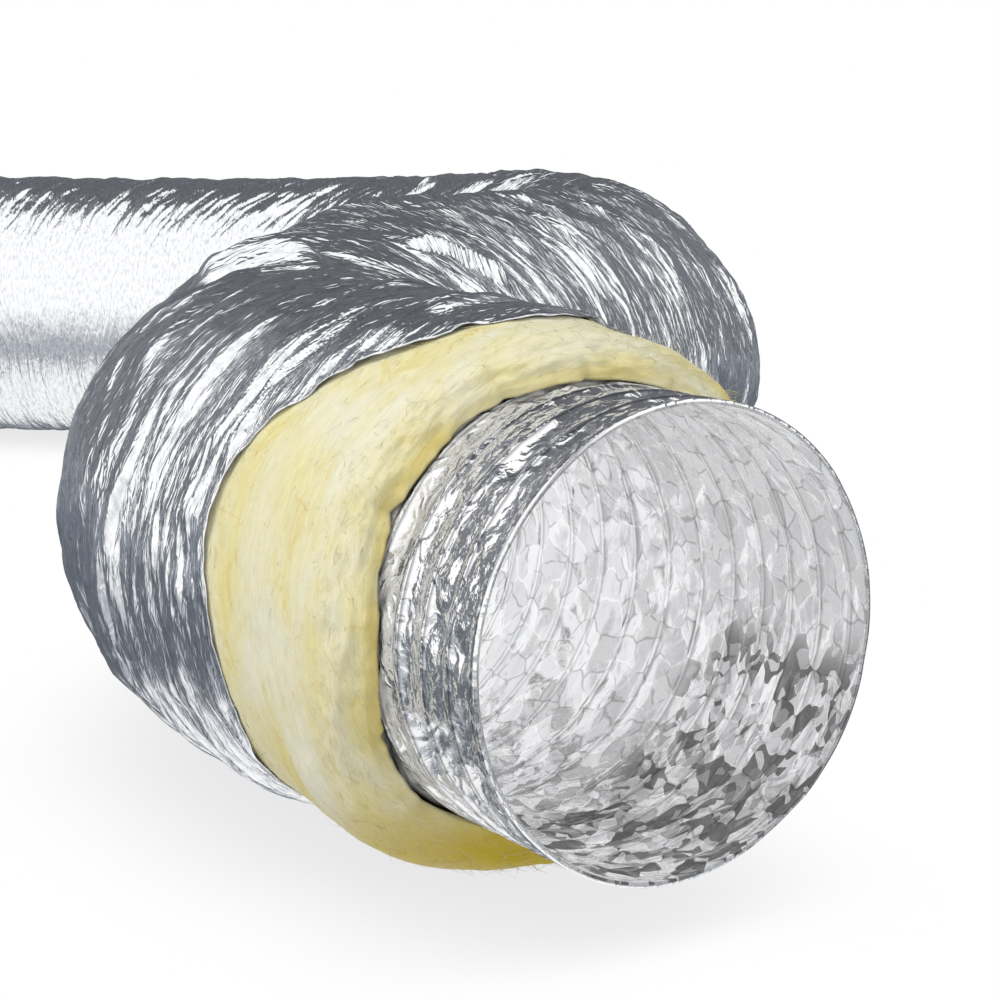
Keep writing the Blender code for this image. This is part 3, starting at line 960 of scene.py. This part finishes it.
def build_wool_bare_end():
    """Outer face, rounded torn shoulder leaning forward down to the core, and back along it."""
    cols = 420
    part, angle = grid_of(np.concatenate([[-1 / 60], np.linspace(0, 1, 61)]), cols)
    edge, torn = wool_edge(angle)
    along = SEAM_AT[0] * (1 - part) + (edge + SHOULDER) * part
    out = off_floor(wrap(along, angle, wool_outer(along, angle)), keep=0.003)
    ring, edge, torn = angle[:1], edge[:1], torn[:1]
    degrees = np.degrees(ring)
    loose = 0.0004 * np.exp(-(((degrees - 160) / 22) ** 2))
    loose = loose + 0.0018 * np.exp(-(((degrees - 222) / 20) ** 2))
    inner_radius = WOOL_IN - 0.0012 + loose
    face_parts = np.linspace(0.03, 1, 40)
    face = bare_face(ring, edge, torn, inner_radius, face_parts)
    back_parts = np.linspace(0.0, 1.0, 26)[1:]
    back = []
    for part in back_parts:
        back_along = edge + torn * (1 - part) + 0.001 + (SEAM_AT[0] - edge) * part
        back_radius = WOOL_IN + (inner_radius - WOOL_IN) * (1 - ease(part, 0.0, 0.15))
        back.append(wrap(back_along, ring, back_radius))
    points = np.concatenate([out, face, *back])
    face_width, back_width = 0.040, 0.2  # on the texture
    face_u = along[-1:] - face_parts[:, None] * face_width
    back_u = along[-1:] - face_width - back_parts[:, None] * back_width
    u = np.concatenate([along, face_u, back_u])
    v = turn(np.repeat(ring, len(points), 0)) * WOOL_UV_ROUND
    obj = sheet("insulation_wool_bare_end", points, (u, v), [WOOL, WOOL_SHADED_FACE])
    # Painted shade: the end of the shoulder by the core and the wool along it take the darker copy.
    second_material_from(obj, (len(out) - 1 + int(len(face_parts) * 0.86) - 1) * cols)
    carry_end(obj, "insulation_end", "glass_wool", "insulation_end_ring")


FIBRE_TAPER = np.array([1.0, 1.0, 0.85, 0.6, 0.25])[:, None]  # thickness at each point of a fibre


def fibre_path(rng):
    """Five points of a fibre that starts at the wool's edge, near the jacket's or between."""
    choice = rng.random()
    angle = rng.random() * 2 * math.pi - math.pi / 2
    wool_end = float(wool_edge(np.full(1, angle))[0][0])
    jacket_end = float(jacket_edge(np.full(1, angle))[0])
    at_edge = choice < 0.55
    if at_edge:
        along = wool_end + 0.022 * rng.random() ** 2
    elif choice < 0.75:
        along = jacket_end - abs(rng.normal(0, 0.004))
    else:
        along = wool_end + 0.02 + rng.random() * (jacket_end - wool_end - 0.02)
    step = rng.uniform(0.004, 0.014) / 4
    heading = rng.random() * 2 * math.pi
    lift = rng.uniform(0.05, 0.55) if at_edge else rng.uniform(0.0, 0.22)
    radius = float(wool_outer(np.full(1, along), np.full(1, angle))[0]) - 0.0004
    into = 1 - (along - wool_end) / SHOULDER
    if into > 0:
        swing = math.asin(min(1.0, into) ** 0.87)
        radius -= (radius - WOOL_IN - 0.002) * shoulder_drop(swing)
    points = []
    for _ in range(len(FIBRE_TAPER)):
        points.append(wrap(np.array([along]), np.array([angle]), np.array([radius]))[0])
        heading += rng.normal(0, 0.45)
        along += math.cos(heading) * step * 0.7 - (0.25 * step if at_edge else 0)
        angle += math.sin(heading) * step / 0.125
        radius += lift * step + rng.normal(0, 0.0003)
    points = np.array(points)
    points[:, 2] = np.maximum(points[:, 2], 0.001)
    return points


def unit_rows(vectors):
    return vectors / (np.linalg.norm(vectors, axis=1, keepdims=True) + 1e-12)


def build_fibres(count):
    """Loose three-sided glass fibres standing off the bare wool, thickest along its torn edges."""
    rng = np.random.default_rng(91)
    stations, sides = len(FIBRE_TAPER), 3
    verts, quads = [], []
    for i in range(count):
        points = fibre_path(rng)
        radius = rng.uniform(0.00006, 0.00013)
        forward = unit_rows(np.gradient(points, axis=0))
        across = unit_rows(np.cross(forward, [0.3, 0.5, 0.8]))
        other = np.cross(forward, across)
        for k in range(sides):
            spin = 2 * math.pi * k / sides
            spoke = math.cos(spin) * across + math.sin(spin) * other
            verts.append(points + radius * FIBRE_TAPER * spoke)
        first = i * stations * sides
        for station in range(stations - 1):
            for k in range(sides):
                here = first + k * stations + station
                beside = first + ((k + 1) % sides) * stations + station
                quads.append((here, beside, beside + 1, here + 1))
    verts = np.concatenate(verts)
    quads = np.array(quads)
    uv = np.repeat(np.arange(len(verts))[:, None] * 0.00013, 2, 1)
    obj = build_mesh("insulation_loose_fibres", verts, quads, [WOOL], uv[quads.ravel()])
    carry_end(obj, "insulation_end", "glass_wool")


# ---------------------------------------------------------------- core
def pitch_at(along):
    """The turns of the wire stand closer together at the open end."""
    return MOUTH_PITCH + PITCH_GAIN * ease(along, 0.05, 0.16)


TURN_AT = np.arange(-0.1, 2.4, 0.002)
TURN_COUNT = np.cumsum(0.002 / pitch_at(TURN_AT))
TURN_COUNT -= np.interp(0.0, TURN_AT, TURN_COUNT)


def turns(along):
    """Turns of the wire from the mouth."""
    return np.interp(along, TURN_AT, TURN_COUNT)


def film_middle(along, angle):
    """Radius of the film's middle, and how closely it is held, by the wire or at the cut end."""
    around = turn(angle)
    count = turns(along) - around - WIRE_START
    pitch = pitch_at(along)
    away = ((count + 0.5) % 1 - 0.5) * pitch
    near_wire = np.exp(-((away / 0.0024) ** 2))
    span = np.clip(1 - (np.abs(away) / (pitch / 2)), 0, 1)
    broad = soft(along, around, length=0.024, count=28, seed=101)
    small = soft(along, around, length=0.012, count=55, seed=102)
    wander = 0.007 * broad + 0.003 * small  # of a turn, round the hose
    once = np.mod(around, 1)
    big = helical_facets(count, once + wander * 0.9, rows=2, count=46, seed=103, calm=True)
    shifted = count + 0.10 * broad * (1 - span)
    middle = helical_facets(shifted, once + wander, rows=3, count=71, seed=104)
    cross = facets(
        along, around, length=0.030, count=80, seed=106, start=0.3 * broad, sway=0.9 * broad
    )
    crumple = 0.0029 * big + 0.0009 * middle + 0.0005 * cross
    sag = -0.0007 * (1 - span) ** 0.6
    crumple = crumple * (1 - 0.12 * (1 - ease(along, 0.05, 0.11)))  # tighter at the bare end
    crumple = np.minimum(crumple + sag, 0.0009) - sag  # the wool holds it in
    held = ease(along, 0.001, 0.010)  # the last turn of wire holds the cut edge round
    radius = WIRE_COIL_RADIUS + (1 - near_wire) * (crumple + sag) * held
    return radius, near_wire * held + (1 - held)


def rim_shape(along, angle):
    """The cut end is a little out of round and its edge waves."""
    fade = np.exp(-np.maximum(along, 0) / 0.035)
    oval = 0.0009 * np.cos(2 * (angle - 0.6))
    return fade * (oval + 0.0009 * ring_noise(turn(angle), row=7.5, count=7, seed=111))


def core_points(along, angle, outer):
    middle, held = film_middle(along, angle)
    off = 0.00022 + held * 0.00100
    radius = middle + (off if outer else -off) + rim_shape(along, angle)
    return wrap(along, angle, radius)


def core_sheet(name, points, along, angle, u, materials):
    """A sheet of the core, facing the axis, that keeps the turn count of every point."""
    uvs = (u, arc(angle, WIRE_COIL_RADIUS))
    obj = sheet("core_film_" + name, points, uvs, materials, inward=True)
    values = obj.data.attributes.new("turns", "FLOAT", "POINT")
    values.data.foreach_set("value", turns(along[1:-1]).astype(np.float32).ravel())
    return obj


def build_core_mouth():
    """The bare end: outside film, rim, inside film."""
    cols = 360
    rim_along, rim_angle = grid_of([0.0], cols)
    around = turn(rim_angle)
    edge = 0.0011 * ring_noise(around, row=3.5, count=13, seed=121)
    edge = edge + 0.0006 * ring_noise(around, row=3.5, count=50, seed=122)
    along, angle = grid_of(rows_between(0.0, CORE_BOUNDS[0], 0.00135)[1:], cols)
    along = along + edge * np.exp(-along / 0.01)
    outside = core_points(along, angle, outer=True)[::-1]
    inside = core_points(along, angle, outer=False)
    rim_radius = film_middle(rim_along, rim_angle)[0] + rim_shape(rim_along, rim_angle)
    rim = wrap(rim_along + edge - 0.0003, rim_angle, rim_radius)
    obj = core_sheet(
        "mouth",
        np.concatenate([outside, rim, inside]),
        along=np.concatenate([along[::-1], rim_along, along]),
        angle=np.concatenate([angle[::-1], rim_angle, angle]),
        u=np.concatenate([along[::-1], rim_along, along + BORE_U]),
        materials=[CORE_FOIL, BORE_FOIL],
    )
    second_material_from(obj, (len(outside) - 1) * cols)
    replaced = ("core_outer_ply_mouth", "core_inner_ply_mouth")
    carry_end(obj, "core_end", "core_outer_foil", *replaced)


def carry_bore(obj, joint, body):
    replaced = ("core_outer_ply_" + body, "core_inner_ply_" + body)
    carry(obj, joint, "core_inner_foil", *replaced)


def build_core_joints():
    steps = (0.0019, 0.0024, 0.004, 0.004, 0.004, 0.004)
    for k, step in enumerate(steps):
        rows = rows_between(CORE_BOUNDS[k], CORE_BOUNDS[k + 1], step)
        along, angle = grid_of(rows, 360 if k < 2 else 200)
        points = core_points(along, angle, outer=False)
        obj = core_sheet(BODIES[k], points, along, angle, along + BORE_U, [BORE_FOIL])
        carry_bore(obj, k, BODIES[k])


def build_core_far_run():
    """Inside film all along, turned over the far cut."""
    cols = 240
    along, angle = grid_of(rows_between(CORE_BOUNDS[-1], END, 0.0030)[:-1], cols)
    back_rows = [END, END - 0.002, END - 0.02, END - 0.05, END - 0.055]
    back_along, back_angle = grid_of(back_rows, cols)
    inside = core_points(along, angle, outer=False)
    back = core_points(back_along, back_angle, outer=True)
    obj = core_sheet(
        "far_run",
        np.concatenate([inside, back]),
        along=np.concatenate([along, back_along]),
        angle=np.concatenate([angle, back_angle]),
        u=np.concatenate([along + BORE_U, back_along]),
        materials=[BORE_FOIL],
    )
    carry_bore(obj, None, "far_run")


def wire_length(name, start, end, per_turn, sides):
    """A round wire wound from start to end, with this many points to a turn and sides."""
    count = max(8, int((turns(end) - turns(start)) * per_turn))
    along = np.linspace(start, end, count)
    angle = (turns(along) - WIRE_START) * 2 * math.pi - math.pi / 2
    once = np.mod(angle + math.pi / 2, 2 * math.pi) - math.pi / 2
    path = wrap(along, angle, WIRE_COIL_RADIUS + rim_shape(along, once))
    forward = np.gradient(path, axis=0)
    forward /= np.linalg.norm(forward, axis=1, keepdims=True)
    out = path - centre(along)
    out -= (out * forward).sum(1, keepdims=True) * forward
    out /= np.linalg.norm(out, axis=1, keepdims=True)
    other = np.cross(forward, out)
    spins = np.arange(sides) * 2 * math.pi / sides
    lines = [path + WIRE_RADIUS * (math.cos(spin) * out + math.sin(spin) * other) for spin in spins]
    verts = np.stack(lines, 1).reshape(-1, 3)
    return build_mesh("spring_wire_" + name, verts, grid_quads(count, sides), [STEEL])


def build_wire():
    """The spring wire inside the film, one length for each piece of the core."""
    bounds = [0.004] + CORE_BOUNDS + [END - 0.004]
    for i, name in enumerate(["mouth"] + BODIES):
        per_turn, sides = (56, 8) if i < 2 else (40, 6)
        obj = wire_length(name, bounds[i], bounds[i + 1], per_turn, sides)
        replaced = "wire_coil_" + name
        if name == "mouth":
            carry_end(obj, "core_end", "spring_steel", replaced)
        else:
            carry(obj, i - 1 if name != "far_run" else None, "spring_steel", replaced)


build_jacket_joints()
build_jacket_far_run()
build_jacket_gathered_end()
build_wool_joints()
build_wool_far_run()
build_wool_bare_end()
build_fibres(2200)
build_core_mouth()
build_core_joints()
build_core_far_run()
build_wire()

# ---------------------------------------------------------------- camera
CAMERA_YAW = math.radians(9.475)
CAMERA_PITCH = math.radians(10.439)  # downwards
CAMERA_HEIGHT = 1.373 * DIAMETER
MOUTH_OFFSET = np.array([0.285, 3.529]) * DIAMETER  # the mouth is this far right of it and ahead
LOOK = np.array([
    -math.sin(CAMERA_YAW) * math.cos(CAMERA_PITCH),
    math.cos(CAMERA_YAW) * math.cos(CAMERA_PITCH),
    -math.sin(CAMERA_PITCH),
])
TO_CAMERA = -LOOK * np.array([1, 1, 0])
TO_CAMERA /= np.linalg.norm(TO_CAMERA)
RIGHT = np.array([LOOK[1], -LOOK[0], 0])
RIGHT /= np.linalg.norm(RIGHT)


def aim(obj, direction):
    obj.rotation_mode = "QUATERNION"
    obj.rotation_quaternion = direction.to_track_quat("-Z", "Y")


def build_camera():
    data = bpy.data.cameras.new("camera")
    data.sensor_width = 36
    data.lens = 83.6928
    data.clip_start, data.clip_end = 0.02, 200
    camera = bpy.data.objects.new("camera", data)
    bpy.context.scene.collection.objects.link(camera)
    cos, sin = math.cos(CAMERA_YAW), math.sin(CAMERA_YAW)
    x, y = centre(0.0)[:2] - np.array([[cos, -sin], [sin, cos]]) @ MOUTH_OFFSET
    camera.location = (x, y, CAMERA_HEIGHT)
    aim(camera, Vector(LOOK))
    bpy.context.scene.camera = camera


# ---------------------------------------------------------------- floor, world and light
# What the foil sees of the floor, from flat to steep view: (steepness, colour).
FLOOR_IN_FRONT = [
    (0.0, 1.0), (0.17, (0.86, 0.87, 0.88)), (0.34, (0.55, 0.57, 0.60)),
    (0.50, (0.40, 0.42, 0.46)), (0.64, (0.50, 0.52, 0.55)), (0.77, (0.90, 0.90, 0.91)),
    (0.90, 0.97),
]
FLOOR_BEHIND = [
    (0.0, (0.32, 0.34, 0.38)), (0.17, (0.17, 0.19, 0.22)), (0.34, (0.13, 0.145, 0.17)),
    (0.50, (0.15, 0.165, 0.19)), (0.64, (0.40, 0.42, 0.45)), (0.77, (0.88, 0.88, 0.89)),
    (0.90, 0.97),
]
# Greys of the dim part of the world by height: (height, grey).
BACK_WALL = [(0.0, 0.17), (0.15, 0.20), (0.30, 0.17), (0.50, 0.15), (0.75, 0.145), (1.0, 0.14)]
FLANK_BANK = [(0.0, 0.0), (0.2, 0.03), (0.45, 0.09), (0.7, 0.16)]  # added at both sides


def floor_material():
    """White to the camera, with soft shade near the duct; greyer in places to the foil."""
    material, graph, shader = new_material("pale_floor")
    graph.nodes.remove(shader)
    path = graph.node("LightPath").outputs
    incoming = graph.node("NewGeometry").outputs["Incoming"]
    steep = graph.dot(incoming, (0, 0, 1))
    in_front = graph.remap(graph.dot(incoming, -TO_CAMERA), span=(-0.15, 0.38))
    before = graph.ramp(steep, FLOOR_IN_FRONT)
    behind = graph.ramp(steep, FLOOR_BEHIND)
    in_foil = graph.mix(in_front, behind, before)
    shade = graph.node("AmbientOcclusion", {"Distance": 0.12}, samples=6).outputs["AO"]
    open_sky = graph.remap(shade, span=(0.10, 0.85))
    seen = graph.mix(open_sky, (0.80, 0.80, 0.81, 1), (1.0, 1.0, 1.0, 1))
    colour = graph.mix(path["Is Glossy Ray"], (0.62, 0.61, 0.58, 1), in_foil)
    to_eye, to_rest = graph.emission(Color=seen), graph.emission(Color=colour)
    surface = graph.mix_shader(path["Is Camera Ray"], to_rest, to_eye)
    graph.feed(graph.nodes["Material Output"], {"Surface": surface})
    material.cycles.emission_sampling = "NONE"
    return material


def studio_floor():
    radius, sides = 60, 96
    mesh = bpy.data.meshes.new("floor")
    spins = [2 * math.pi * i / sides for i in range(sides)]
    ring = [(radius * math.cos(spin), radius * math.sin(spin), 0) for spin in spins]
    mesh.from_pydata(ring, [], [list(range(sides))])
    floor = bpy.data.objects.new("floor", mesh)
    bpy.context.scene.collection.objects.link(floor)
    floor.data.materials.append(floor_material())


def studio_world():
    """A white tent in front of and over the duct, dim behind. The camera sees plain white."""
    world = bpy.data.worlds.new("studio")
    world.use_nodes = True
    bpy.context.scene.world = world
    graph = Graph(world.node_tree)
    direction = graph.node("TexCoord").outputs["Generated"]
    forward = graph.dot(direction, TO_CAMERA)
    height = graph.dot(direction, UP)
    sideways = graph.absolute(graph.dot(direction, RIGHT))
    wings = graph.product(sideways, height, 0.43)
    tent = graph.remap(graph.math("ADD", forward, wings), span=(-0.13, -0.01))
    wall = graph.ramp(height, BACK_WALL)
    bank = graph.ramp(height, FLANK_BANK)
    flank = graph.product(graph.remap(sideways, span=(0.22, 0.62)), bank)
    back = graph.math("ADD", wall, flank)
    dim = graph.vector("SCALE", {0: (0.92, 0.965, 1.06), "Scale": back})
    mirrored = graph.mix(tent, dim, (1.06, 1.06, 1.06, 1))
    soft_fill = graph.mix(tent, (0.34, 0.345, 0.35, 1), (0.72, 0.72, 0.72, 1))
    path = graph.node("LightPath").outputs
    colour = graph.mix(path["Is Glossy Ray"], soft_fill, mirrored)
    colour = graph.mix(path["Is Camera Ray"], colour, (1.0, 1.0, 1.0, 1))
    graph.feed(graph.nodes["Background"], {"Color": colour, "Strength": 1.0})
    world.cycles.sampling_method = "NONE"


def soft_key():
    """A square area light in front, above and to the left as the camera sees it."""
    data = bpy.data.lights.new("soft_key", "AREA")
    data.shape = "RECTANGLE"
    data.size = data.size_y = 1.5
    data.energy = 26
    light = bpy.data.objects.new("soft_key", data)
    bpy.context.scene.collection.objects.link(light)
    target = np.array([0.2, -0.4, 0.1])
    place = target + TO_CAMERA * 1.2 - RIGHT * 1.2 + UP * 2.2
    light.location = place
    aim(light, Vector(target) - Vector(place))
    light.visible_glossy = False
    light.visible_camera = False


build_camera()
studio_floor()
studio_world()
soft_key()

view_settings = bpy.context.scene.view_settings
view_settings.view_transform = "Standard"
view_settings.look = "None"
view_settings.exposure = 0.0
